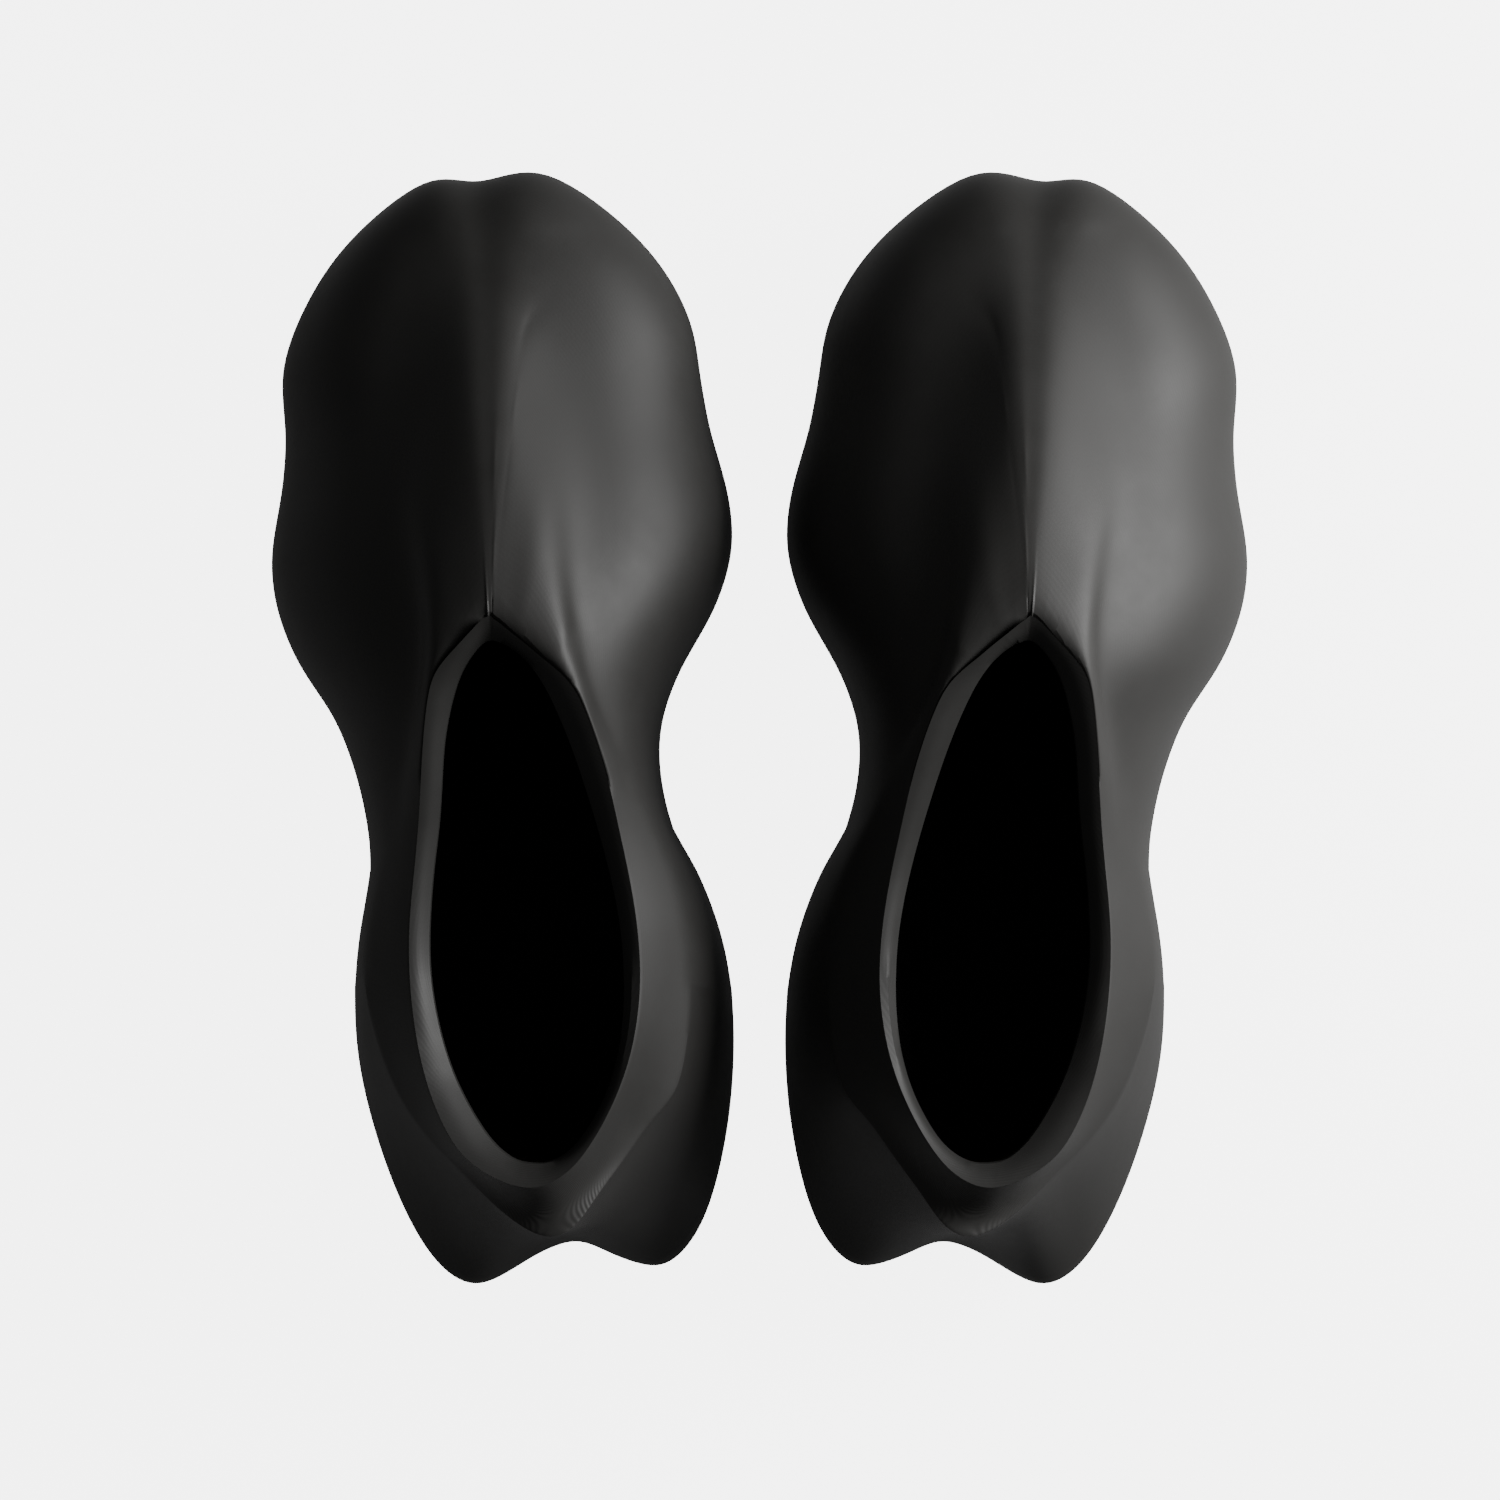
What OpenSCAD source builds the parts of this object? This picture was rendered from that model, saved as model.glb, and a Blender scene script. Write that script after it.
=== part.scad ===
// Pair of moulded slip-on shoes, standing side by side with the toes along +Y.
// Each shoe is worked out in its own frame: +Y to the toe, +X to the inner (big toe) side,
// Z = 0 on the ground. The right shoe is the left one mirrored.

/* [Shoe] */
// Overall length of one shoe, heel lobe to toe
shoe_length = 315; // [260:0.5:380]
// Overall width of one shoe at the ball
shoe_width = 131.4; // [112:0.1:160]
// Clear gap between the two shoes
pair_gap = 14.6; // [4:0.2:60]

/* [Heights above the midsole] */
// Height of the collar at the throat, above the top of the midsole
throat_height = 79; // [66:1:96]
// Height of the collar at the ankle sides, above the top of the midsole
side_height = 56; // [46:1:69]
// Height of the collar at the back of the heel, above the top of the midsole
heel_height = 70; // [58:1:84]
// Height of the crest at the tip of the heel tail, above the top of the midsole
tail_height = 62; // [50:1:72]
// Height of the shell over the toes, above the top of the midsole
toe_height = 38; // [30:1:48]

/* [Sole] */
// Thickness of the rubber outsole with its tread
outsole_t = 5; // [3.5:0.5:8]
// Thickness of the foam midsole
midsole_t = 21; // [15:0.1:30]
// Rise of the toe above the ground
toe_spring = 12; // [4:1:18]
// Rise of the back of the heel above the ground
heel_spring = 3; // [0:0.5:6]
// Rise of the arch under the waist
arch_rise = 5; // [0:0.5:9]
// How far the sole tapers in towards the ground, as a share of the side wall
sole_taper = 0.35; // [0.1:0.05:0.6]
// Width of a tread groove
groove_w = 4; // [2:0.5:6]
// Depth of a tread groove
groove_d = 2.5; // [1:0.5:3.5]
// Distance from one tread groove to the next
groove_pitch = 14; // [9:0.5:24]

/* [Upper] */
// Least wall of the moulded upper
upper_wall = 5; // [3:0.5:8]
// Drop of the inner lip of the collar below its crest
lip_drop = 3.5; // [1:0.5:6]
// Depth of the collar band
collar_depth = 9; // [6.5:0.5:14]
// Rise of the collar band between its two edges
collar_crown = 1; // [0:0.1:2.5]
// Thickness of the inner lining
lining_t = 2; // [1.2:0.1:3.5]

/* [Inside] */
// Height of the straight-sided room for the heel, above the midsole
heel_room = 46; // [38:1:54]
// Thickness of the insole board
board_t = 2; // [1:0.2:4]
// Thickness of the removable footbed
footbed_t = 4.5; // [3:0.5:8]
// Height of the raised edge of the footbed above its middle
footbed_lip = 4; // [1:0.5:8]
// Width of the bevel outside the footbed's raised edge
footbed_bevel = 2.5; // [1:0.5:5]
// Distance from the footbed's side to its flat middle
footbed_slope = 9; // [6:0.5:14]
// Width of the steel shank
shank_w = 16; // [10:1:24]
// Length of the steel shank
shank_l = 96; // [60:1:120]
// Thickness of the steel shank
shank_t = 1.6; // [1:0.1:3]
// Diameter of the gel heel cushion
cushion_d = 44; // [30:1:52]
// Thickness of the gel heel cushion
cushion_t = 8; // [4:0.5:12]
// Web of foam between the cushion's pocket and the shank's slot
pocket_web = 1.4; // [1:0.1:6]
// Clearance of each insert in its pocket
clearance = 0.3; // [0.2:0.05:0.6]
// Gap all round the removable footbed
footbed_gap = 2; // [1.5:0.1:3]

/* [Hidden] */

// The rings below run from the middle of the heel, up the outer side, round the toe and back
// down the inner side. Point 0 is the middle of the heel and point 22 the middle of the toe,
// and points k and 44 - k face each other across the foot.

// Outline of the shoe from above, with its two heel lobes, narrow waist and wavy toe
EDGE = [
    [21, -144.6], [9, -149], [-6, -157.5], [-18, -151.5], [-28, -135.7], [-36, -114.5],
    [-41, -93], [-41.9, -73], [-40, -56], [-37.2, -39.6], [-38.4, -26], [-42, -11],
    [-48, 4], [-57.5, 18], [-64, 34], [-65.6, 50], [-62.6, 67], [-61.3, 84],
    [-62.4, 101], [-56, 119], [-43, 138], [-21, 155], [-6, 153.8], [13, 157.5],
    [40, 138], [53, 117.5], [56, 102], [59, 85], [64, 68], [65.4, 51],
    [60, 33.5], [51, 18], [45.2, 2], [45, -13], [48.6, -28], [55.5, -40],
    [62, -57], [65.2, -74], [65.8, -93], [64, -113], [59.5, -133], [53, -146],
    [44, -152.3], [31, -148.5]];
// Character line: the sharp crest round the heel, the shoulder of the waist and the soft
// crease at each side of the instep, with the heights it would have on an unscaled shoe
CREST = [
    [16.4, -138.2, 88], [9, -136, 86], [0, -129.5, 82], [-9, -121, 77], [-18, -112.5, 73],
    [-27, -100, 69], [-33.5, -83, 66], [-36.5, -67, 65], [-34.5, -52, 66], [-31, -37, 69],
    [-27.5, -24, 74], [-24.5, -10, 80], [-21.5, 4, 87], [-19, 18, 92], [-19.5, 34, 91],
    [-22.5, 50, 86], [-25, 67, 80], [-23.5, 83, 75], [-19.5, 99, 71], [-16, 111, 68],
    [-12, 120, 66], [-7.5, 125, 65], [-2.5, 127, 64], [2.5, 125, 65], [7, 119, 66],
    [10, 110, 68], [13.5, 98, 71], [18.5, 82.5, 75], [21.5, 66, 80], [22, 49, 86],
    [23, 32, 91], [26, 16, 91], [31, 2, 86], [37, -11, 80], [43, -25, 74],
    [49, -38, 69], [53, -54, 67], [54, -70, 67], [53, -86, 68], [50, -99.5, 70],
    [43, -107.5, 74], [36, -117.5, 78], [29.5, -126, 83], [23, -135, 87]];
// Outer edge of the collar band, pointed at the throat
COLLAR = [
    [12, -124], [7.5, -123.7], [1.5, -121.6], [-4.5, -118], [-10, -112.5], [-16, -101],
    [-20.3, -86], [-22.6, -69], [-22.7, -53], [-21.2, -38], [-19.9, -25], [-19, -13],
    [-18, -1], [-16, 12], [-12.5, 18], [-9, 21.8], [-6.5, 24.5], [-4.6, 26.5],
    [-3.2, 28], [-2.1, 29], [-1.2, 29.7], [-0.4, 30.1], [0.4, 30.4], [1.4, 29.6],
    [2.7, 28.7], [4.2, 27.5], [6, 26], [8.3, 24.2], [11, 22], [14.5, 19],
    [18.8, 15.5], [23.5, 10], [28, -1], [31.8, -14], [34.8, -28], [37.5, -41],
    [39.6, -54.5], [40.4, -69], [39, -83], [36, -94.5], [32, -104], [27.5, -112],
    [22.5, -118.5], [17, -122.5]];
// Inner edge of the collar band: the mouth that the foot goes in through
MOUTH = [
    [11, -118], [7, -117.3], [3, -114.8], [-1, -110.7], [-5.5, -104], [-10.5, -94.5],
    [-14.6, -82], [-17.2, -67.5], [-17.4, -53], [-16.2, -38], [-14.6, -26], [-13.6, -14],
    [-12.6, -2.5], [-10, 9], [-7.5, 15.5], [-5.3, 19], [-3.7, 21], [-2.6, 22.2],
    [-1.8, 22.9], [-1.2, 23.3], [-0.6, 23.6], [0, 23.8], [0.7, 23.9], [1.4, 23.8],
    [2.3, 23.5], [3.4, 23], [4.8, 22.3], [6.5, 21.2], [8.4, 19.6], [10.8, 17.2],
    [13.6, 13.4], [17, 7], [21.5, -4], [25.3, -15.5], [29, -28], [32.2, -40.5],
    [34.7, -53.5], [35.8, -67], [35.4, -81.5], [32.6, -95], [28.3, -105], [23.5, -112.4],
    [18.8, -116.3], [14.8, -117.9]];
// Outline of the room for the foot, on the top of the midsole
FOOT = [
    [12, -125], [4, -124], [-4, -120.5], [-11.5, -114], [-18, -105], [-22.5, -94],
    [-25, -81], [-26.5, -68], [-27.5, -55], [-28.5, -41], [-30.5, -27], [-33, -12],
    [-37.5, 3], [-43.5, 18], [-48.5, 34], [-50.5, 50], [-50, 67], [-48.5, 84],
    [-46, 100], [-40.5, 115], [-31.5, 128], [-19, 137.5], [-2, 141], [15, 138],
    [30.5, 128.5], [39.5, 115], [44.5, 100], [47.5, 84], [49, 67], [48, 50],
    [44, 33.5], [39.5, 18], [37, 2], [37, -13], [38.5, -27], [41, -41],
    [43.5, -55], [45.5, -68], [46, -81], [44.5, -94], [41, -105], [35.5, -114],
    [28, -120.5], [20, -124]];

POINTS = len(EDGE);
FINE = 2;
COLS = POINTS * FINE;
// Size of the shoe that the rings are written for
RING_LENGTH = 315;
RING_WIDTH = 131.4;
RING_SIDE = 82;
RING_THROAT = 105;
SX = shoe_width / RING_WIDTH;
SY = shoe_length / RING_LENGTH;

// Rows of the grid from the collar to the crest, and from the crest to the sole
TOP_ROWS = 4;
SIDE_ROWS = 5;
ROWS = TOP_ROWS + SIDE_ROWS;
// Points of the heel that the heel counter takes on each side, and those of the two caps
COUNTER_POINTS = 7;
HEEL_FAN = 4 * FINE;
TOE_FAN = 3 * FINE;
// Points at which the forefoot and heel outsoles end, and the slant of their grooves
FOREFOOT_END = 12;
HEEL_END = 8;
FOREFOOT_SLANT = 8;
HEEL_SLANT = -6;

// Heights of the sole
function spring(y) =
    y > 50 * SY ? toe_spring * pow((y - 50 * SY) / (105 * SY), 2)
    : y < -125 * SY ? heel_spring * pow((y + 125 * SY) / (30 * SY), 2) : 0;
function arch(y) = lookup(y, [
    [-56 * SY, 0], [-44 * SY, 0.7 * arch_rise], [-27 * SY, arch_rise],
    [-10 * SY, 0.7 * arch_rise], [2 * SY, 0]]);
function sole_bottom(y) = outsole_t + spring(y) + arch(y);
deck = outsole_t + midsole_t;
function sole_top(y) = deck + spring(y);
// Height of the collar's crest along the shoe
function rim(y) = deck + lookup(y, [
    [-124 * SY, heel_height], [-112 * SY, heel_height - 4],
    [-95 * SY, (heel_height + 2 * side_height) / 3], [-70 * SY, side_height],
    [-45 * SY, side_height], [-25 * SY, side_height + 4],
    [0, (side_height + 1.3 * throat_height) / 2.3], [20 * SY, throat_height - 3],
    [31 * SY, throat_height]]);

// Steps along the rings from the middle of the heel, on either side
function from_heel(k) = min(k, POINTS - k);
// Crest heights follow the tail at the heel and the toe height at the toe
function crest_shift(k) = deck + lookup(from_heel(k), [
    [0, tail_height - CREST[0][2]], [6, side_height - RING_SIDE], [9, side_height - RING_SIDE],
    [13, throat_height - RING_THROAT], [22, toe_height - CREST[22][2]]]);

// Rings at the size asked for, each a list of [x, y, z]
function scaled(ring) = [for (p = ring) [p[0] * SX, p[1] * SY]];
function lift(p, z) = [p[0], p[1], z];
edge = [for (p = scaled(EDGE)) lift(p, sole_top(p[1]))];
crest = [for (k = [0:POINTS - 1]) [CREST[k][0] * SX, CREST[k][1] * SY, CREST[k][2] + crest_shift(k)]];
collar = [for (p = scaled(COLLAR)) lift(p, rim(p[1]))];
mouth = [for (p = scaled(MOUTH)) lift(p, rim(p[1]) - lip_drop)];
foot = [for (p = scaled(FOOT)) lift(p, sole_top(p[1]))];

// Smooth closed curve through a ring's points, FINE steps to a point
function blend4(a, b, c, d, t) =
    b + 0.5 * t * (c - a + t * (2 * a - 5 * b + 4 * c - d + t * (3 * (b - c) + d - a)));
function smooth(ring) = let (n = len(ring)) [
    for (k = [0:n - 1], s = [0:FINE - 1])
        blend4(ring[(k + n - 1) % n], ring[k], ring[(k + 1) % n], ring[(k + 2) % n], s / FINE)];
function mix(a, b, t) = a + (b - a) * t;
function bend(a, b, c, t) = (1 - t) * (1 - t) * a + 2 * t * (1 - t) * b + t * t * c;

edge_c = [for (p = smooth(edge)) lift(p, sole_top(p[1]))];
crest_c = smooth(crest);
collar_c = smooth(collar);
mouth_c = smooth(mouth);
foot_c = [for (p = smooth(foot)) lift(p, sole_top(p[1]))];

// Shape of the outer wall between the rings, by steps from the heel
function steps(c) = min(c, COLS - c) / FINE;
// Swell of the top between the collar and the crest, highest along the spine of the instep
function hump(c) = lookup(c / FINE, [
    [0, -4], [5, -1.5], [8, 1], [12, 1], [14, 3], [17, 4], [20, 4.5], [22, 5],
    [24, 5.5], [27, 6.5], [30, 4], [32, 1], [36, 1], [39, -1.5], [44, -4]]);
function shoulder_out(c) = lookup(steps(c), [[0, 0.25], [3, 0.3], [5, 0.5], [8, 0.85], [12, 0.98]]);
function shoulder_up(c) = lookup(steps(c), [[0, 0.3], [3, 0.3], [5, 0.45], [8, 0.7], [12, 0.75]]);
function shoulder(a, b, out, up) = lift(mix(a, b, out), b[2] + (a[2] - b[2]) * up);
function top_point(c, t) = mix(collar_c[c], crest_c[c], t) + [0, 0, hump(c) * sin(180 * t)];
function side_point(c, t) = bend(crest_c[c],
    shoulder(crest_c[c], edge_c[c], shoulder_out(c), shoulder_up(c)), edge_c[c], t);
outer = [for (r = [0:ROWS]) [for (c = [0:COLS - 1])
    r <= TOP_ROWS ? top_point(c, r / TOP_ROWS) : side_point(c, (r - TOP_ROWS) / SIDE_ROWS)]];

// Shape of the room for the foot
function roof_out(c) = lookup(steps(c), [[0, 0.1], [3, 0.15], [5, 0.3], [8, 0.5], [12, 0.75], [16, 0.93]]);
heel_drop = heel_height - heel_room;
function roof_drop(c) = lookup(steps(c), [[0, heel_drop], [4, heel_drop - 4], [8, heel_drop / 2],
    [12, upper_wall + 1], [22, upper_wall]]);
function seat(c) = mix(collar_c[c], mouth_c[c], 0.3) - [0, 0, upper_wall - lip_drop * 0.3];
function roof(c) = mix(collar_c[c], crest_c[c], roof_out(c)) - [0, 0, roof_drop(c)];
function room_point(c, r) = r <= TOP_ROWS
    ? mix(seat(c), roof(c), r / TOP_ROWS)
    : bend(roof(c), lift(foot_c[c], mix(foot_c[c][2], roof(c)[2], 0.85)), foot_c[c],
        (r - TOP_ROWS) / SIDE_ROWS);
room = [for (r = [0:ROWS]) [for (c = [0:COLS - 1]) room_point(c, r)]];

// Point of a grid, going round in the columns, and its unit normal, outward from the foot
function at(grid, r, c) = grid[min(max(r, 0), len(grid) - 1)][(c + COLS) % COLS];
function unit(v) = v / norm(v);
function normal(grid, r, c) = unit(cross(
    at(grid, r, c + 1) - at(grid, r, c - 1), at(grid, r + 1, c) - at(grid, r - 1, c)));
// A grid moved inward by a wall, with its lowest row kept on the sole
function inward(grid, wall) = [for (r = [0:ROWS]) [for (c = [0:COLS - 1])
    let (p = grid[r][c] - normal(grid, r, c) * wall) r == ROWS ? lift(p, grid[r][c][2]) : p]];

// Flat ring moved inward by a distance, at the same heights
function inset(ring, d) = let (n = len(ring)) [for (i = [0:n - 1])
    let (t = ring[(i + 1) % n] - ring[(i + n - 1) % n], s = unit([t[0], t[1]]))
    ring[i] + [s[1], -s[0], 0] * d];
function raised(ring, h) = [for (p = ring) p + [0, 0, h]];

function quad(a, b, c, d) = [[a, c, b], [a, d, c]];

// Closed wall between an outer and an inner grid, over the cells for which has(r, c) is true
module wall(out, in, has) {
    n = COLS * (ROWS + 1);
    function id(r, c) = r * COLS + (c + COLS) % COLS;
    function free(r, c) = r < 0 || r >= ROWS || !has(r, (c + COLS) % COLS);
    faces = [for (r = [0:ROWS - 1], c = [0:COLS - 1]) if (has(r, c)) each concat(
        quad(id(r, c), id(r, c + 1), id(r + 1, c + 1), id(r + 1, c)),
        quad(n + id(r, c), n + id(r + 1, c), n + id(r + 1, c + 1), n + id(r, c + 1)),
        free(r - 1, c) ? quad(id(r, c), n + id(r, c), n + id(r, c + 1), id(r, c + 1)) : [],
        free(r + 1, c) ? quad(id(r + 1, c), id(r + 1, c + 1), n + id(r + 1, c + 1), n + id(r + 1, c)) : [],
        free(r, c - 1) ? quad(id(r, c), id(r + 1, c), n + id(r + 1, c), n + id(r, c)) : [],
        free(r, c + 1) ? quad(id(r, c + 1), n + id(r, c + 1), n + id(r + 1, c + 1), id(r + 1, c + 1)) : [])];
    polyhedron([for (row = out) each row, for (row = in) each row], faces, convexity = 8);
}
in_counter = function(r, c) r >= TOP_ROWS && (c < COUNTER_POINTS * FINE || c >= COLS - COUNTER_POINTS * FINE);
in_upper = function(r, c) !in_counter(r, c);
in_all = function(r, c) true;

// Triangles that close a ring of n points: a fan from point 0, a ladder, a fan from the middle
function ladder(n, fan_a, fan_b) = let (h = floor(n / 2), last = fan_b > 0 ? h - fan_b : floor((n - 1) / 2))
    [
        for (i = [1:1:fan_a - 1]) each [[0, i, i + 1], [0, n - i - 1, n - i]],
        [0, fan_a, n - fan_a],
        for (i = [fan_a:1:last - 1]) each [[i, i + 1, n - i - 1], [i, n - i - 1, n - i]],
        for (i = [last:1:h - 2]) if (fan_b > 0) each [[h, i, i + 1], [h, n - i - 1, n - i]],
        if (fan_b > 0) [h, n - last, last]];
function flip(faces) = [for (f = faces) [f[2], f[1], f[0]]];

// Solid through a stack of rings, lowest first
module stack(rings, fan_a, fan_b) {
    n = len(rings[0]);
    top = (len(rings) - 1) * n;
    cap = ladder(n, fan_a, fan_b);
    faces = [
        for (f = flip(cap)) f,
        for (f = cap) f + [top, top, top],
        for (r = [0:len(rings) - 2], i = [0:n - 1])
            each quad((r + 1) * n + (i + 1) % n, r * n + (i + 1) % n, r * n + i, (r + 1) * n + i)];
    polyhedron([for (ring = rings) each ring], faces, convexity = 6);
}
// Part of a ring: n points either way from the middle of the heel (0) or of the toe
function part_ring(ring, middle, n) = [
    for (i = [0:n]) ring[(middle + i) % COLS], for (i = [n:-1:1]) ring[(middle + COLS - i) % COLS]];
function at_height(ring, h) = [for (p = ring) lift(p, h + spring(p[1]))];

// Rings of the sole, from the tread up
sole_c = [for (c = [0:COLS - 1])
    let (p = mix(edge_c[c], foot_c[c], sole_taper)) lift(p, sole_bottom(p[1]))];
flank_c = [for (c = [0:COLS - 1]) let (p = mix(edge_c[c], sole_c[c], 0.25))
    lift(p, mix(p[2], sole_c[c][2], 0.35))];
// Rings of the lining, the insole board and the footbed
// The lining's top edge is stepped in across the collar band, so that it stays under it
lining_edge = [for (c = [0:COLS - 1]) let (d = mouth_c[c] - collar_c[c])
    room[0][c] + unit([d[0], d[1], 0]) * lining_t];
lining_walls = inward(room, lining_t);
lining = [for (r = [0:ROWS]) r == 0 ? lining_edge : lining_walls[r]];
board_c = inset(foot_c, lining_t + clearance);
bed_c = inset(foot_c, lining_t + footbed_gap);
bed_lip_c = inset(bed_c, footbed_bevel);
bed_middle_c = inset(bed_c, footbed_slope);
bed_h = board_t + clearance;
cushion_at = [11 * SX, -88 * SY];
shank_at = [6 * SX, cushion_at[1] + cushion_d / 2 + pocket_web + 2 * clearance + shank_l / 2];

// ---- Pieces of one shoe, in the shoe's own frame ----

// Moulded upper: instep, toe, sides and the band round the ankle down to the heel crest
module upper_shell() { color("#23221f") wall(outer, room, in_upper); }

// Heel cup below the crest, with its two lobes
module heel_counter() { color("#1b1a18") wall(outer, room, in_counter); }

// Bevelled collar round the mouth, seated on the top edges of the upper and the lining
module collar_band() {
    function around(f) = [for (c = [0:COLS - 1]) f(c)];
    crown = around(function(c) mix(collar_c[c], mouth_c[c], 0.5) + [0, 0, collar_crown]);
    low = raised(mouth_c, lip_drop - collar_depth);
    rings = [room[0], collar_c, crown, mouth_c, low, lining[0]];
    n = COLS;
    faces = [for (r = [0:5], i = [0:n - 1])
        each quad((r + 1) % 6 * n + i, (r + 1) % 6 * n + (i + 1) % n, r * n + (i + 1) % n, r * n + i)];
    color("#2c2b28") polyhedron([for (ring = rings) each ring], faces, convexity = 6);
}

// Thin lining of the whole room for the foot
module inner_lining() { color("#141414") wall(room, lining, in_all); }

// Foam midsole, with a round pocket for the heel cushion and a slot for the shank
module midsole() {
    color("#1d1c1a") difference() {
        stack([sole_c, flank_c, edge_c, foot_c, board_c], HEEL_FAN, TOE_FAN);
        translate([cushion_at[0], cushion_at[1], deck - cushion_t])
            cylinder(d = cushion_d + 2 * clearance, h = cushion_t + 1, $fn = 64);
        translate([shank_at[0], shank_at[1], deck - shank_t])
            linear_extrude(shank_t + 1) slot(shank_l + 2 * clearance, shank_w + 2 * clearance);
    }
}

// Outline of the shank: a bar with round ends, along Y
module slot(length, width) {
    for (y = [-1, 1] * (length - width) / 2) translate([0, y]) circle(d = width, $fn = 48);
    square([width, length - width], center = true);
}

// Rubber slab under part of the midsole
module tread(middle, n, fan) {
    ring = part_ring(sole_c, middle, n);
    ground = at_height(ring, 0);
    stack([ground, at_height(ring, outsole_t)], fan, 0);
}

// Straight grooves across the tread, sloping a little
module grooves(from, to, tilt) {
    for (y = [from:groove_pitch:to]) translate([0, y, spring(y) + groove_d / 2 - 5])
        rotate([0, 0, tilt]) cube([2 * shoe_width, groove_w, groove_d + 10], center = true);
}

module forefoot_outsole() {
    color("#121212") difference() {
        tread(COLS / 2, COLS / 2 - FOREFOOT_END * FINE, TOE_FAN);
        grooves(14 * SY, 130 * SY, FOREFOOT_SLANT);
    }
}

module heel_outsole() {
    color("#121212") difference() {
        tread(0, HEEL_END * FINE, HEEL_FAN);
        grooves(-124 * SY, -66 * SY, HEEL_SLANT);
    }
}

// Steel shank that stiffens the waist, let into the midsole
module arch_shank() {
    color("#8f9296") translate([shank_at[0], shank_at[1], deck - shank_t])
        linear_extrude(shank_t) slot(shank_l, shank_w);
}

// Fibre board that closes the bottom of the upper
module insole_board() {
    color("#5b5348") stack([board_c, raised(board_c, board_t)], HEEL_FAN, TOE_FAN);
}

// Round gel pad under the heel, in its pocket in the midsole
module heel_cushion() {
    color("#3f6f86") translate([cushion_at[0], cushion_at[1], deck - cushion_t])
        cylinder(d = cushion_d, h = cushion_t, $fn = 64);
}

// Removable cushioned footbed with a raised edge
module footbed() {
    color("#2e2e2e") stack([
        raised(bed_c, bed_h), raised(bed_c, bed_h + footbed_t + footbed_lip * 0.6),
        raised(bed_lip_c, bed_h + footbed_t + footbed_lip),
        raised(bed_middle_c, bed_h + footbed_t)], HEEL_FAN, TOE_FAN);
}

// ---- The two shoes in place ----
shoe_x = (shoe_width + pair_gap) / 2;
module left() { translate([-shoe_x, 0, 0]) children(); }
module right() { mirror([1, 0, 0]) left() children(); }

left() upper_shell();  // left_upper_shell
left() heel_counter();  // left_heel_counter
left() collar_band();  // left_collar_band
left() inner_lining();  // left_inner_lining
left() midsole();  // left_midsole
left() forefoot_outsole();  // left_forefoot_outsole
left() heel_outsole();  // left_heel_outsole
left() arch_shank();  // left_arch_shank
left() insole_board();  // left_insole_board
left() heel_cushion();  // left_heel_cushion
left() footbed();  // left_footbed
right() upper_shell();  // right_upper_shell
right() heel_counter();  // right_heel_counter
right() collar_band();  // right_collar_band
right() inner_lining();  // right_inner_lining
right() midsole();  // right_midsole
right() forefoot_outsole();  // right_forefoot_outsole
right() heel_outsole();  // right_heel_outsole
right() arch_shank();  // right_arch_shank
right() insole_board();  // right_insole_board
right() heel_cushion();  // right_heel_cushion
right() footbed();  // right_footbed
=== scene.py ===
import math

import bpy
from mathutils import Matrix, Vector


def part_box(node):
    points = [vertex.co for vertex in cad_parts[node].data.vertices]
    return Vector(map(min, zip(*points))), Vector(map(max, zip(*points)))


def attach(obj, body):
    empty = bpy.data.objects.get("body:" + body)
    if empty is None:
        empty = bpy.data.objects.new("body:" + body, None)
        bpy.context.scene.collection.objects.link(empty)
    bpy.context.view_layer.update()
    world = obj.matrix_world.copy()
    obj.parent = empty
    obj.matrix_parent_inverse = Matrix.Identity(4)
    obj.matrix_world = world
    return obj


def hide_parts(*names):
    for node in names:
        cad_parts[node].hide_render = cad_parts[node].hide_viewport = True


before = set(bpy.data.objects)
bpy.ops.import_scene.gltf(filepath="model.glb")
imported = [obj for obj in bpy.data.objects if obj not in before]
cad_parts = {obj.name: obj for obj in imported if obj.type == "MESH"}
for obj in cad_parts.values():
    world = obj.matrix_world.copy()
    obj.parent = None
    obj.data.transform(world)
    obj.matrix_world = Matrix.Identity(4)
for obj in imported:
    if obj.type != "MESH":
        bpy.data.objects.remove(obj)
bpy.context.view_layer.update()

MM = 0.001
SIDES = ("left", "right")

# ---- Sizes used by the modelling, from the CAD model's own frame ----

MERGE_GAP = 0.01 * MM
# Triangles are joined into a quad up to these angles between and around them
QUAD_BEND = math.radians(75)
QUAD_SKEW = math.radians(100)

# Crease weights: an edge that stays sharp, a waist corner and a padded edge
HELD = 1.0
HELD_AT_WAIST = 0.8
HELD_PADDED = 0.6

# The top of the shoe in front of the throat
INSTEP_FROM_Y = -12 * MM
INSTEP_FROM_Z = 50 * MM

# The two inward corners of the waist: place along the shoe, reach to each side of it,
# and least distance from the middle of the shoe
OUTER_WAIST = (-39.3 * MM, 2.2 * MM, 30 * MM)
INNER_WAIST = (-27 * MM, 2.4 * MM, 42 * MM)
WAIST_TOP = 62 * MM

# The smoothed ridge of the instep: where it starts, the length and width over which the
# smoothing fades in, half its width, and where the toe begins
RIDGE_FROM_Y = 31 * MM
RIDGE_FADE_Y = 14 * MM
RIDGE_HALF_WIDTH = 30 * MM
RIDGE_FADE_X = 10 * MM
RIDGE_TO_Y = 140 * MM
RIDGE_PASSES = 24

# Middle of each heel tail, from the middle of the pair, and how far its printed layers show
HEEL_LOW, HEEL_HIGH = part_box("right_heel_counter")
TAIL_X = (HEEL_LOW[0] + HEEL_HIGH[0]) / 2 - 4 * MM
TAIL_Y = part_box("right_upper_shell")[0][1] + 6 * MM
TAIL_REACH = 30 * MM


# ---- Edit-mode helpers ----

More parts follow.
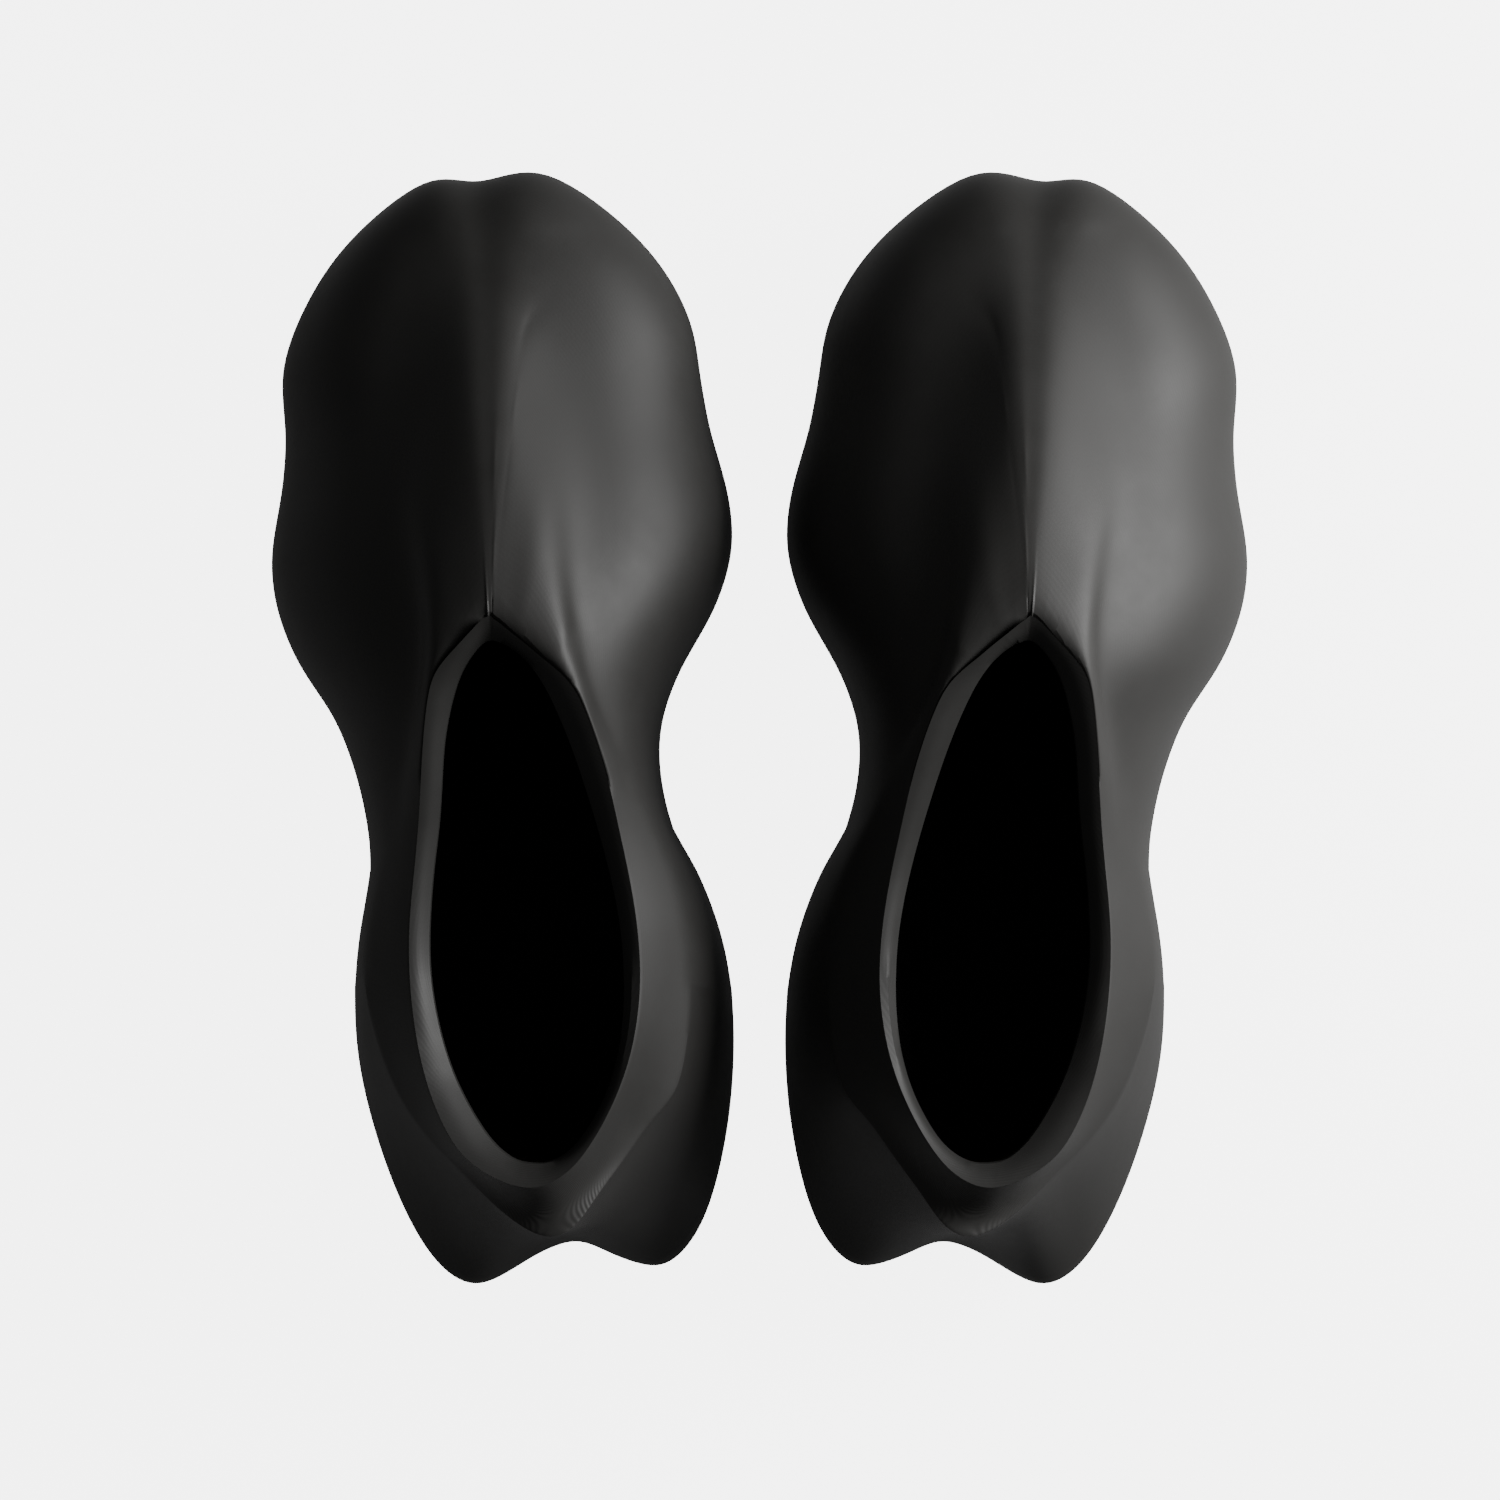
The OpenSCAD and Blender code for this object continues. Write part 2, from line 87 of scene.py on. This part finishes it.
def only(piece):
    """Selects one piece and nothing else."""
    bpy.ops.object.select_all(action="DESELECT")
    piece.select_set(True)
    bpy.context.view_layer.objects.active = piece


def edit_all(piece):
    """Opens a piece for editing with everything selected."""
    only(piece)
    bpy.ops.object.mode_set(mode="EDIT")
    bpy.ops.mesh.select_all(action="SELECT")


def edit_none(piece, kind):
    """Opens a piece for editing by faces or edges with nothing selected."""
    only(piece)
    bpy.ops.object.mode_set(mode="EDIT")
    bpy.ops.mesh.select_mode(type=kind)
    bpy.ops.mesh.select_all(action="DESELECT")


def object_mode():
    """Closes the piece that is being edited, which makes its mesh data anew."""
    bpy.ops.object.mode_set(mode="OBJECT")


def raw_copy(node, name):
    """A merged copy of a CAD node's mesh, still in triangles and without a material."""
    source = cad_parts[node]
    piece = source.copy()
    piece.data = source.data.copy()
    piece.name = name
    piece.data.materials.clear()
    bpy.context.collection.objects.link(piece)
    edit_all(piece)
    bpy.ops.mesh.remove_doubles(threshold=MERGE_GAP)
    bpy.ops.mesh.customdata_custom_splitnormals_clear()
    object_mode()
    return piece


def in_quads(piece):
    """Joins a piece's loose triangles into quads, after merging its doubles."""
    edit_all(piece)
    bpy.ops.mesh.remove_doubles(threshold=MERGE_GAP)
    bpy.ops.mesh.tris_convert_to_quads(face_threshold=QUAD_BEND, shape_threshold=QUAD_SKEW,
                                       materials=True)
    object_mode()
    return piece


def copy_of(node, name):
    """A merged copy of a CAD node's mesh in quads."""
    return in_quads(raw_copy(node, name))


def without_shared_walls(pieces):
    """Deletes the walls at which two pieces are moulded onto each other."""
    faces_at = []
    for piece in pieces:
        places = [tuple(round(v / MERGE_GAP) for v in point.co) for point in piece.data.vertices]
        faces_at.append({frozenset(places[i] for i in face.vertices): face.index
                         for face in piece.data.polygons})
    shared = faces_at[0].keys() & faces_at[1].keys()
    for piece, known in zip(pieces, faces_at):
        edit_none(piece, "FACE")
        object_mode()
        for key in shared:
            piece.data.polygons[known[key]].select = True
        bpy.ops.object.mode_set(mode="EDIT")
        bpy.ops.mesh.delete(type="FACE")
        object_mode()


def crease_corners(piece, degrees, weight=HELD):
    """Holds every edge sharper than the angle when the surface is subdivided."""
    edit_none(piece, "EDGE")
    bpy.ops.mesh.edges_select_sharp(sharpness=math.radians(degrees))
    bpy.ops.transform.edge_crease(value=weight)
    object_mode()


def crease_where(piece, wanted, weight=HELD):
    """Holds the edges for which wanted(edge middle, edge direction, the two sides) is true.

    Each side is (normal, material index) of a face. Both are copied out, and only once the
    piece is back in object mode, because a change of mode makes the mesh's data anew.
    """
    edit_none(piece, "EDGE")
    object_mode()
    mesh = piece.data
    beside = {}
    for face in mesh.polygons:
        side = (face.normal.copy(), face.material_index)
        for key in face.edge_keys:
            beside.setdefault(tuple(key), []).append(side)
    for edge in mesh.edges:
        sides = beside.get(tuple(edge.key), [])
        if len(sides) == 2:
            a, b = (mesh.vertices[i].co.copy() for i in edge.vertices)
            edge.select = bool(wanted((a + b) / 2, (b - a).normalized(), sides))
    bpy.ops.object.mode_set(mode="EDIT")
    bpy.ops.transform.edge_crease(value=weight)
    object_mode()


def bent(sides, degrees):
    """True where two faces meet at more than an angle."""
    return sides[0][0].angle(sides[1][0], 0) > math.radians(degrees)


def sharp_shell_edge(spot, direction, sides):
    """The shell's sharp edges, but not the instep, which has only soft creases."""
    on_the_instep = spot.y > INSTEP_FROM_Y and spot.z > INSTEP_FROM_Z
    return bent(sides, 38) and not on_the_instep


def heel_crest(spot, direction, sides):
    """The line at which the upper's skin meets the heel's, apart from its upright ends."""
    return sides[0][1] != sides[1][1] and abs(direction.z) < 0.6


def sole_rim(spot, direction, sides):
    """The rims that run round the midsole."""
    return bent(sides, 24) and abs(direction.z) < 0.5


def middle_of(side):
    """The x of a shoe's middle."""
    low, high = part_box(f"{side}_upper_shell")
    return (low[0] + high[0]) / 2


def waist_corner(side):
    """Test for the upright edges at the two inward corners of the waist."""
    middle = middle_of(side)
    inward = 1 if middle < 0 else -1

    def wanted(spot, direction, sides):
        x = (spot.x - middle) * inward
        at_corner = any(abs(spot.y - y) < reach and way * x > least
                        for way, (y, reach, least) in ((-1, OUTER_WAIST), (1, INNER_WAIST)))
        return at_corner and abs(direction.z) > 0.45 and spot.z < WAIST_TOP
    return wanted


def spine_group(piece, side):
    """Weights for the ridge of the instep, growing from the throat towards the toe."""
    middle = middle_of(side)
    group = piece.vertex_groups.new(name="spine")
    for point in piece.data.vertices:
        forward = min(max((point.co.y - RIDGE_FROM_Y) / RIDGE_FADE_Y, 0), 1)
        near = min(max((RIDGE_HALF_WIDTH - abs(point.co.x - middle)) / RIDGE_FADE_X, 0), 1)
        if forward * near > 0 and point.normal.z > 0.3 and point.co.y < RIDGE_TO_Y:
            group.add([point.index], forward * near, "REPLACE")


def applied(piece, kind, **settings):
    """Adds a modifier, sets it and applies it."""
    only(piece)
    modifier = piece.modifiers.new(kind.title(), kind)
    for name, value in settings.items():
        setattr(modifier, name, value)
    bpy.ops.object.modifier_apply(modifier=modifier.name)


def subdivided(piece, levels):
    """Catmull-Clark surface of the piece."""
    applied(piece, "SUBSURF", levels=levels, render_levels=levels)


def softened(piece, width, degrees):
    """Small rounding on every edge sharper than the angle."""
    applied(piece, "BEVEL", width=width, segments=2, limit_method="ANGLE",
            angle_limit=math.radians(degrees))


def shaded(piece, degrees):
    """Shades a piece smooth, apart from the edges sharper than the angle."""
    only(piece)
    bpy.ops.object.shade_smooth_by_angle(angle=math.radians(degrees))


def smoothed(piece, levels):
    """Catmull-Clark surface of the piece, shaded smooth with its held edges sharp."""
    subdivided(piece, levels)
    shaded(piece, 32)


def fit_out(piece, body, material, slot_name, *nodes):
    """Gives a finished piece its material and its body, and hides the CAD nodes it stands for.
    """
    piece.data.materials.append(material)
    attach(piece, body)
    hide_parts(*nodes)


# ---- Shader helpers ----

def new_group(name, inputs, outputs):
    """An empty shader group with the float inputs given as (name, value) and float outputs."""
    group = bpy.data.node_groups.new(name, "ShaderNodeTree")
    for label, value in inputs:
        socket = group.interface.new_socket(label, in_out="INPUT", socket_type="NodeSocketFloat")
        socket.default_value = value
    for label in outputs:
        group.interface.new_socket(label, in_out="OUTPUT", socket_type="NodeSocketFloat")
    source = group.nodes.new("NodeGroupInput")
    sink = group.nodes.new("NodeGroupOutput")
    return group, source, sink


def math_node(tree, operation, *values):
    """A math node fed by sockets or numbers."""
    node = tree.nodes.new("ShaderNodeMath")
    node.operation = operation
    for socket, value in zip(node.inputs, values):
        if isinstance(value, (int, float)):
            socket.default_value = value
        else:
            tree.links.new(value, socket)
    return node.outputs[0]


def object_coordinates(tree):
    """Coordinates that stay with the object."""
    return tree.nodes.new("ShaderNodeTexCoord").outputs["Object"]


def along_axes(tree, vector):
    """The X, Y and Z outputs of a vector."""
    split = tree.nodes.new("ShaderNodeSeparateXYZ")
    tree.links.new(vector, split.inputs[0])
    return split.outputs


def wave(tree, distance, pitch):
    """A sine that repeats once in every pitch."""
    turns = math_node(tree, "DIVIDE", distance, pitch)
    return math_node(tree, "SINE", math_node(tree, "MULTIPLY", turns, 2 * math.pi))


def noise(tree, vector, scale, detail=2.0, roughness=0.5):
    """The mask of a noise texture."""
    node = tree.nodes.new("ShaderNodeTexNoise")
    node.inputs["Scale"].default_value = scale
    node.inputs["Detail"].default_value = detail
    node.inputs["Roughness"].default_value = roughness
    tree.links.new(vector, node.inputs["Vector"])
    return node.outputs["Fac"]


def spread(tree, fac, low, high, start=0.3, end=0.7):
    """Maps a mask to a range of numbers."""
    node = tree.nodes.new("ShaderNodeMapRange")
    node.inputs["From Min"].default_value = start
    node.inputs["From Max"].default_value = end
    node.inputs["To Min"].default_value = low
    node.inputs["To Max"].default_value = high
    tree.links.new(fac, node.inputs["Value"])
    return node.outputs["Result"]


def ramp(tree, fac, dark, light, start=0.3, end=0.7):
    """A two-colour ramp over a mask."""
    node = tree.nodes.new("ShaderNodeValToRGB")
    stops = zip(node.color_ramp.elements, (start, end), (dark, light))
    for element, position, colour in stops:
        element.position = position
        element.color = (*colour, 1)
    tree.links.new(fac, node.inputs["Fac"])
    return node.outputs["Color"]


def bump(tree, shader, height, distance):
    """A Bump node into the shader's normal."""
    node = tree.nodes.new("ShaderNodeBump")
    node.inputs["Strength"].default_value = 1.0
    node.inputs["Distance"].default_value = distance
    tree.links.new(height, node.inputs["Height"])
    tree.links.new(node.outputs["Normal"], shader.inputs["Normal"])


# ---- Shader groups ----

def moulded_skin_group():
    """Height and scuffs of a printed and tumbled elastomer: fine layers, grain and clouds."""
    group, source, sink = new_group(
        "moulded_skin",
        [("Layer Pitch", 0.5 * MM), ("Layer Depth", 0.1), ("Tail Layers", 0.3),
         ("Grain Depth", 0.3)],
        ["Height", "Scuffs"])
    place = object_coordinates(group)
    axes = along_axes(group, place)
    # The layers are deeper close to each heel tail
    across = math_node(group, "SUBTRACT", math_node(group, "ABSOLUTE", axes["X"]), TAIL_X)
    along = math_node(group, "SUBTRACT", axes["Y"], TAIL_Y)
    reach = math_node(group, "SQRT",
                      math_node(group, "ADD", math_node(group, "MULTIPLY", across, across),
                                math_node(group, "MULTIPLY", along, along)))
    at_tail = spread(group, reach, 0, 1, TAIL_REACH, TAIL_REACH * 0.4)
    extra = math_node(group, "MULTIPLY", at_tail, source.outputs["Tail Layers"])
    depth = math_node(group, "ADD", extra, source.outputs["Layer Depth"])
    layers = math_node(group, "MULTIPLY", wave(group, axes["Z"], source.outputs["Layer Pitch"]),
                       depth)
    grain = math_node(group, "MULTIPLY", noise(group, place, 1400, 3),
                      source.outputs["Grain Depth"])
    group.links.new(math_node(group, "ADD", layers, grain), sink.inputs["Height"])
    group.links.new(noise(group, place, 26, 6, 0.65), sink.inputs["Scuffs"])
    return group


def knit_group():
    """Height and shade of a fine knitted cloth with loops in columns."""
    group, source, sink = new_group("knit_cloth", [("Pitch", 1.6 * MM), ("Depth", 1.0)],
                                    ["Height", "Shade"])
    axes = along_axes(group, object_coordinates(group))
    x, y, z = (wave(group, axes[axis], source.outputs["Pitch"]) for axis in "XYZ")
    loops = math_node(group, "ADD", math_node(group, "MULTIPLY", x, y),
                      math_node(group, "MULTIPLY", z, 0.6))
    group.links.new(math_node(group, "MULTIPLY", loops, source.outputs["Depth"]),
                    sink.inputs["Height"])
    group.links.new(math_node(group, "MULTIPLY_ADD", loops, 0.25, 0.5), sink.inputs["Shade"])
    return group


# ---- Materials ----

def new_material(name, roughness, specular=0.5, metallic=0.0, sheen=0.0):
    """A Principled material, whose constants sit on the shader's own sockets."""
    material = bpy.data.materials.new(name)
    material.use_nodes = True
    tree = material.node_tree
    shader = tree.nodes["Principled BSDF"]
    shader.inputs["Roughness"].default_value = roughness
    shader.inputs["Specular IOR Level"].default_value = specular
    shader.inputs["Metallic"].default_value = metallic
    shader.inputs["Sheen Weight"].default_value = sheen
    return material, tree, shader


def moulded(name, dark, light, roughness, layer_depth, grain_depth, specular=0.5):
    """Near-black elastomer with the shared skin."""
    material, tree, shader = new_material(name, roughness, specular)
    skin = tree.nodes.new("ShaderNodeGroup")
    skin.node_tree = SKIN
    skin.inputs["Layer Depth"].default_value = layer_depth
    skin.inputs["Grain Depth"].default_value = grain_depth
    scuffs = skin.outputs["Scuffs"]
    tree.links.new(ramp(tree, scuffs, dark, light), shader.inputs["Base Color"])
    tree.links.new(spread(tree, scuffs, roughness - 0.04, roughness + 0.05),
                   shader.inputs["Roughness"])
    bump(tree, shader, skin.outputs["Height"], 0.08 * MM)
    return material


def knitted(name, dark, light, pitch, depth, sheen):
    """Black knitted cloth."""
    material, tree, shader = new_material(name, 0.85, 0.25, sheen=sheen)
    knit = tree.nodes.new("ShaderNodeGroup")
    knit.node_tree = KNIT
    knit.inputs["Pitch"].default_value = pitch
    knit.inputs["Depth"].default_value = depth
    tree.links.new(ramp(tree, knit.outputs["Shade"], dark, light, 0, 0.4),
                   shader.inputs["Base Color"])
    bump(tree, shader, knit.outputs["Height"], 0.3 * MM)
    return material


def brushed_steel():
    """Spring steel brushed along its length."""
    material, tree, shader = new_material("shank_steel", 0.35, metallic=1.0)
    stretch = tree.nodes.new("ShaderNodeMapping")
    stretch.inputs["Scale"].default_value = (900, 30, 900)
    tree.links.new(object_coordinates(tree), stretch.inputs["Vector"])
    brushing = noise(tree, stretch.outputs["Vector"], 1)
    tree.links.new(ramp(tree, brushing, (0.4, 0.41, 0.43), (0.62, 0.63, 0.65)),
                   shader.inputs["Base Color"])
    bump(tree, shader, brushing, 0.04 * MM)
    return material


def speckled(name, dark, light, roughness, scale):
    """Pressed fibre or gel with a cloudy speckle."""
    material, tree, shader = new_material(name, roughness)
    speckle = noise(tree, object_coordinates(tree), scale, 5)
    tree.links.new(ramp(tree, speckle, dark, light), shader.inputs["Base Color"])
    bump(tree, shader, speckle, 0.1 * MM)
    return material


SKIN = moulded_skin_group()
KNIT = knit_group()
SHELL_SKIN = moulded("shell_skin", (0.021, 0.0204, 0.0192), (0.026, 0.0254, 0.0242),
                     roughness=0.56, layer_depth=0.03, grain_depth=0.18, specular=0.34)
HEEL_SKIN = moulded("heel_skin", (0.018, 0.0174, 0.0164), (0.023, 0.0224, 0.0214),
                    roughness=0.54, layer_depth=0.05, grain_depth=0.18, specular=0.36)
COLLAR_SKIN = moulded("collar_skin", (0.018, 0.0175, 0.0165), (0.023, 0.0225, 0.0215),
                      roughness=0.54, layer_depth=0.05, grain_depth=0.15, specular=0.32)
MIDSOLE_FOAM = moulded("midsole_foam_skin", (0.012, 0.0118, 0.011), (0.018, 0.0175, 0.0165),
                       roughness=0.55, layer_depth=0.6, grain_depth=0.6)
TREAD_RUBBER = moulded("tread_rubber", (0.008, 0.008, 0.008), (0.016, 0.016, 0.016),
                       roughness=0.62, layer_depth=0.0, grain_depth=0.9)
LINING_KNIT = knitted("lining_knit", (0.004, 0.004, 0.004), (0.011, 0.011, 0.011),
                      pitch=1.3 * MM, depth=0.7, sheen=0.1)
FOOTBED_CLOTH = knitted("footbed_cloth_top", (0.002, 0.002, 0.002), (0.006, 0.006, 0.006),
                        pitch=1.8 * MM, depth=1.0, sheen=0.05)
SHANK_STEEL = brushed_steel()
FIBRE_BOARD = speckled("fibre_board", (0.2, 0.17, 0.12), (0.34, 0.29, 0.22),
                       roughness=0.8, scale=500)
HEEL_GEL = speckled("heel_gel", (0.05, 0.14, 0.2), (0.09, 0.22, 0.3),
                    roughness=0.25, scale=120)


# ---- Pieces ----

def shell(side):
    """One moulding of upper and heel cup, with the sharp crest and tail round its heel."""
    upper = raw_copy(f"{side}_upper_shell", f"{side}_shell")
    heel = raw_copy(f"{side}_heel_counter", f"{side}_heel_part")
    without_shared_walls((upper, heel))
    upper.data.materials.append(SHELL_SKIN)
    heel.data.materials.append(HEEL_SKIN)
    only(upper)
    heel.select_set(True)
    bpy.ops.object.join()
    in_quads(upper)
    crease_where(upper, sharp_shell_edge)
    crease_where(upper, heel_crest)
    crease_where(upper, waist_corner(side), HELD_AT_WAIST)
    subdivided(upper, 2)
    spine_group(upper, side)
    applied(upper, "SMOOTH", factor=0.5, iterations=RIDGE_PASSES, vertex_group="spine")
    upper.vertex_groups.clear()
    softened(upper, 0.4 * MM, 22)
    shaded(upper, 50)
    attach(upper, f"{side}_shoe")
    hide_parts(f"{side}_upper_shell", f"{side}_heel_counter")


def collar(side):
    """Bevelled collar with a soft bead along its inner lip."""
    piece = copy_of(f"{side}_collar_band", f"{side}_collar")
    crease_corners(piece, 32)
    smoothed(piece, 2)
    fit_out(piece, f"{side}_shoe", COLLAR_SKIN, "collar", f"{side}_collar_band")


def lining(side):
    """Knitted lining of the room for the foot."""
    piece = copy_of(f"{side}_inner_lining", f"{side}_lining_cloth")
    crease_corners(piece, 50)
    smoothed(piece, 1)
    fit_out(piece, f"{side}_shoe", LINING_KNIT, "lining", f"{side}_inner_lining")


def sole(side):
    """Foam midsole."""
    piece = copy_of(f"{side}_midsole", f"{side}_midsole_foam")
    crease_where(piece, sole_rim)
    crease_where(piece, waist_corner(side), HELD_AT_WAIST)
    smoothed(piece, 2)
    fit_out(piece, f"{side}_shoe", MIDSOLE_FOAM, "midsole_foam", f"{side}_midsole")


def tread(side, end):
    """Rubber tread with its edges softened."""
    piece = copy_of(f"{side}_{end}_outsole", f"{side}_{end}_tread")
    crease_corners(piece, 30)
    subdivided(piece, 1)
    softened(piece, 0.5 * MM, 50)
    shaded(piece, 30)
    fit_out(piece, f"{side}_shoe", TREAD_RUBBER, "outsole_rubber", f"{side}_{end}_outsole")


def footbed(side):
    """Cushioned footbed, crowned under the arch, with cloth on top."""
    piece = copy_of(f"{side}_footbed", f"{side}_footbed_pad")
    crease_corners(piece, 60, HELD_PADDED)
    smoothed(piece, 1)
    fit_out(piece, f"{side}_footbed_body", FOOTBED_CLOTH, "footbed_cloth", f"{side}_footbed")


for side in SIDES:
    shell(side)
    collar(side)
    lining(side)
    sole(side)
    tread(side, "forefoot")
    tread(side, "heel")
    footbed(side)
    # The pieces inside the sole keep their CAD shape
    for node, material in (("arch_shank", SHANK_STEEL), ("insole_board", FIBRE_BOARD),
                           ("heel_cushion", HEEL_GEL)):
        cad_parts[f"{side}_{node}"].data.materials.clear()
        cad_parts[f"{side}_{node}"].data.materials.append(material)


# ---- Floor, lights and camera ----

# Strength of the floor and room seen directly, and what each throws at the shoes
SEEN = 5.5
FLOOR_THROWS = 0.12
ROOM_THROWS = 0.11

CAMERA_HEIGHT = 1.5
SENSOR_WIDTH = 36
# Width of the view, at this height above the floor
VIEW_WIDTH = 0.4245
VIEW_LEVEL = 0.03


def strength(tree, thrown):
    """Bright where it is seen directly, and weak where it lights the shoes."""
    rays = tree.nodes.new("ShaderNodeLightPath")
    return spread(tree, rays.outputs["Is Camera Ray"], thrown, SEEN, 0, 1)


def floor():
    """A near-white floor just under the treads, clear from below so that the soles show."""
    bpy.ops.mesh.primitive_plane_add(size=8, location=(0, 0, -0.3 * MM))
    plane = bpy.context.active_object
    plane.name = "studio_floor"
    material, tree, shader = new_material("floor_white", 0.9, 0.1)
    shader.inputs["Base Color"].default_value = (0.35, 0.35, 0.35, 1)
    shader.inputs["Emission Color"].default_value = (1, 1, 1, 1)
    tree.links.new(strength(tree, FLOOR_THROWS), shader.inputs["Emission Strength"])
    facing = tree.nodes.new("ShaderNodeNewGeometry")
    clear = tree.nodes.new("ShaderNodeBsdfTransparent")
    mixed = tree.nodes.new("ShaderNodeMixShader")
    tree.links.new(facing.outputs["Backfacing"], mixed.inputs[0])
    tree.links.new(shader.outputs["BSDF"], mixed.inputs[1])
    tree.links.new(clear.outputs["BSDF"], mixed.inputs[2])
    tree.links.new(mixed.outputs["Shader"], tree.nodes["Material Output"].inputs["Surface"])
    plane.data.materials.append(material)


def sky():
    """A pale room that gives the shoes a weak even fill."""
    world = bpy.data.worlds.new("studio")
    world.use_nodes = True
    tree = world.node_tree
    background = tree.nodes["Background"]
    background.inputs["Color"].default_value = (1, 1, 1, 1)
    tree.links.new(strength(tree, ROOM_THROWS), background.inputs["Strength"])
    bpy.context.scene.world = world


def area_light(name, place, target, size, power):
    """A soft square light that looks at a target point."""
    light = bpy.data.lights.new(name, "AREA")
    light.energy = power
    light.size = size
    lamp = bpy.data.objects.new(name, light)
    bpy.context.collection.objects.link(lamp)
    lamp.location = place
    direction = [t - p for t, p in zip(target, place)]
    length = math.sqrt(sum(d * d for d in direction))
    lamp.rotation_euler = (math.acos(-direction[2] / length), 0,
                           math.atan2(direction[1], direction[0]) - math.pi / 2)


def camera():
    """A long lens straight above the pair."""
    data = bpy.data.cameras.new("camera")
    data.sensor_width = SENSOR_WIDTH
    data.lens = SENSOR_WIDTH * (CAMERA_HEIGHT - VIEW_LEVEL) / VIEW_WIDTH
    rig = bpy.data.objects.new("camera", data)
    bpy.context.collection.objects.link(rig)
    rig.location = (-2.7 * MM, -5.7 * MM, CAMERA_HEIGHT)
    bpy.context.scene.camera = rig


floor()
sky()
area_light("key", (0.66, 0.2, 0.38), (0.05, 0, 0.05), 0.32, 11)
camera()
